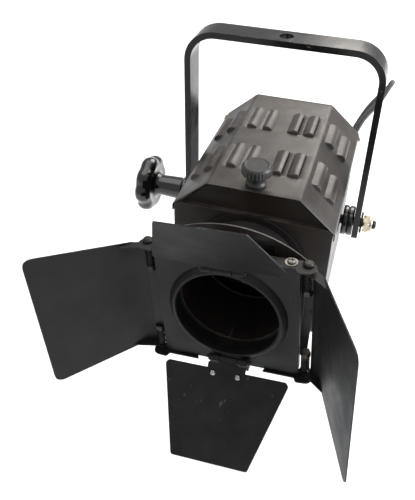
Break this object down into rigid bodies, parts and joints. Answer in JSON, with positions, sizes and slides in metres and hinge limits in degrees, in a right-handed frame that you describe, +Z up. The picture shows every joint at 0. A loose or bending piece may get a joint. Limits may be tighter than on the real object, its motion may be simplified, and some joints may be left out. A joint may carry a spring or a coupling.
{
  "type": "fresnel spotlight",
  "caption": "Small stage and studio fresnel spotlight: louvred black housing in a tilting yoke, with a rotating barn door of four folding leaves.",
  "frame": {"origin": "on the crossbar's top face, on the yoke's centre plane, 9.9 mm behind the centre of the hanging hole and 190 mm above the tilt axis", "axes": "+X to the right seen from the front, parallel to the tilt axis; +Y to the rear, so the beam leaves towards -Y; +Z up, towards the yoke's crossbar"},
  "size_m": [0.2772, 0.4124, 0.2883],
  "materials": {
    "housing_paint": "satin black enamel, lightly textured, chipped on edges",
    "yoke_paint": "semi-gloss black enamel with chips on edges",
    "door_paint": "matt black enamel, heat-greyed and rubbed",
    "inside_paint": "matt dark brown-black, heat-discoloured",
    "black_plastic": "glossy moulded black plastic",
    "zinc": "yellowish zinc plate",
    "bright_steel": "bright steel",
    "reflector_metal": "polished aluminium",
    "lens_glass": "stepped clear glass",
    "lamp_glass": "clear quartz",
    "white_ceramic": "unglazed cream ceramic",
    "grey_cable": "grey rubber sheath"
  },
  "bodies": {
    "yoke": {"yoke": "yoke_paint", "supply_lead": "grey_cable"},
    "housing": {"chassis": "housing_paint", "front_wall": "housing_paint", "rear_wall": "housing_paint", "roof_hinge_rod": "zinc", "knob_bracket": "inside_paint", "fresnel_lens": "lens_glass", "lens_ring": "inside_paint", "lens_frame": "inside_paint", "heat_shield": "inside_paint", "guide_rod_left": "bright_steel", "guide_rod_right": "bright_steel", "pivot_boss_left": "zinc", "pivot_boss_right": "zinc", "spacer_left": "black_plastic", "spacer_right": "black_plastic", "pivot_bolt": "zinc", "pivot_washer": "zinc", "lock_nut": "zinc", "handwheel_washer": "zinc", "front_hood": "housing_paint", "front_bezel": "housing_paint", "runner_bottom": "door_paint", "runner_left": "door_paint", "runner_right": "door_paint", "door_carrier": "door_paint", "cable_gland": "black_plastic", "cable_tail": "grey_cable", "terminal_block": "white_ceramic"},
    "roof_cover": {"roof_cover": "housing_paint"},
    "roof_knob": {"roof_knob": "black_plastic"},
    "tilt_handwheel": {"tilt_handwheel": "black_plastic", "handwheel_stud": "zinc"},
    "lamp_carriage": {"lamp_carriage": "zinc", "reflector": "reflector_metal", "lamp_holder": "white_ceramic", "lamp": "lamp_glass"},
    "focus_knob": {"focus_knob": "black_plastic"},
    "door_gate": {"door_gate": "door_paint"},
    "barn_door": {"barn_door_plate": "door_paint", "collar_ring": "door_paint", "ear_top_left": "door_paint", "ear_top_right": "door_paint", "ear_bottom_left": "door_paint", "ear_bottom_right": "door_paint", "hinge_bolt_top_left": "zinc", "hinge_bolt_top_right": "zinc", "hinge_bolt_bottom_left": "zinc", "hinge_bolt_bottom_right": "zinc", "top_bracket": "door_paint", "top_hinge_pin": "bright_steel", "bottom_bracket": "door_paint", "bottom_hinge_pin": "bright_steel"},
    "left_leaf": {"left_leaf": "door_paint"},
    "right_leaf": {"right_leaf": "door_paint"},
    "top_leaf": {"top_leaf": "door_paint"},
    "bottom_leaf": {"bottom_leaf": "door_paint"}
  },
  "joints": [
    {"name": "tilt", "type": "hinge", "parent": "yoke", "child": "housing", "pos_m": [0, -0.0099, -0.19], "axis": [1, 0, 0], "range_deg": [-30, 75]},
    {"name": "handwheel_turn", "type": "hinge", "parent": "housing", "child": "tilt_handwheel", "pos_m": [-0.12, -0.0099, -0.19], "axis": [-1, 0, 0], "range_deg": [-45, 360]},
    {"name": "roof_lid", "type": "hinge", "parent": "housing", "child": "roof_cover", "pos_m": [0, 0.0691, -0.1365], "axis": [-1, 0, 0], "range_deg": [0, 18]},
    {"name": "roof_knob_turn", "type": "hinge", "parent": "roof_cover", "child": "roof_knob", "pos_m": [0, -0.1009, -0.1], "axis": [0, 0, 1], "range_deg": [0, 720]},
    {"name": "focus_slide", "type": "slide", "parent": "housing", "child": "lamp_carriage", "axis": [0, 1, 0], "range_m": [-0.028, 0.028]},
    {"name": "focus_knob_turn", "type": "hinge", "parent": "lamp_carriage", "child": "focus_knob", "pos_m": [0, -0.0199, -0.27], "axis": [0, 0, 1], "range_deg": [0, 270]},
    {"name": "gate_slide", "type": "slide", "parent": "housing", "child": "door_gate", "axis": [0, 0, 1], "range_m": [0, 0.008]},
    {"name": "barn_door_turn", "type": "hinge", "parent": "housing", "child": "barn_door", "pos_m": [0, -0.1839, -0.183], "axis": [0, 1, 0], "continuous": true},
    {"name": "left_leaf_fold", "type": "hinge", "parent": "barn_door", "child": "left_leaf", "pos_m": [-0.0672, -0.18, -0.18817], "axis": [0.0767, 0, -0.9971], "range_deg": [-70, 15]},
    {"name": "right_leaf_fold", "type": "hinge", "parent": "barn_door", "child": "right_leaf", "pos_m": [0.0672, -0.18, -0.17783], "axis": [-0.0767, 0, 0.9971], "range_deg": [-42, 43]},
    {"name": "top_leaf_fold", "type": "hinge", "parent": "barn_door", "child": "top_leaf", "pos_m": [-0.00403, -0.1899, -0.13065], "axis": [-0.9971, 0, -0.0767], "range_deg": [-80, 25]},
    {"name": "bottom_leaf_fold", "type": "hinge", "parent": "barn_door", "child": "bottom_leaf", "pos_m": [0.00403, -0.1899, -0.23534], "axis": [0.9971, 0, 0.0767], "range_deg": [-55, 50]}
  ]
}
